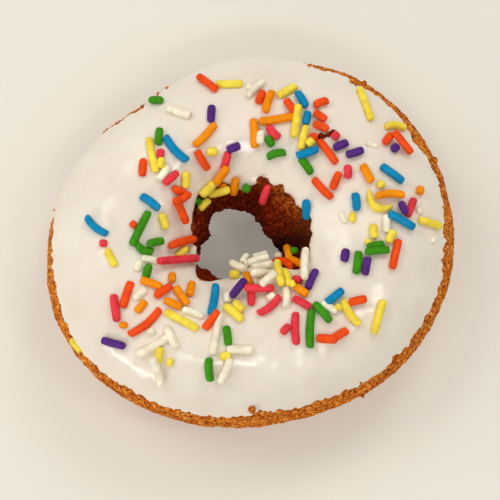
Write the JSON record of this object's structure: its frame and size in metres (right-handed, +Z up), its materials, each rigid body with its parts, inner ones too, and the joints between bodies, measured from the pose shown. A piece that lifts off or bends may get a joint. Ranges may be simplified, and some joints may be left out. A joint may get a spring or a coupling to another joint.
{
  "type": "sprinkle frosted doughnut",
  "caption": "Ring-shaped cake doughnut with an off-centre hole, white icing over its top and a browned crust showing round its side, strewn with coloured sugar sprinkles.",
  "frame": {"origin": "under the middle of the doughnut, at the height of the surface it lies on", "axes": "+Z up, +X along the longer way across the ring, +Y across it"},
  "size_m": [0.0854, 0.0794, 0.032],
  "materials": {
    "fried_crust": "browned, crumbly fried dough, dull, darker inside the hole",
    "white_icing": "set sugar icing, warm white, smooth and glossy with soft ripples",
    "sprinkle_red": "waxed sugar, orange red",
    "sprinkle_orange": "waxed sugar, orange",
    "sprinkle_yellow": "waxed sugar, yellow",
    "sprinkle_green": "waxed sugar, green",
    "sprinkle_blue": "waxed sugar, blue",
    "sprinkle_purple": "waxed sugar, purple",
    "sprinkle_pink": "waxed sugar, deep pink",
    "sprinkle_white": "waxed sugar, cream white"
  },
  "bodies": {
    "root": {"dough_ring": "fried_crust", "icing": "white_icing"}
  },
  "joints": []
}
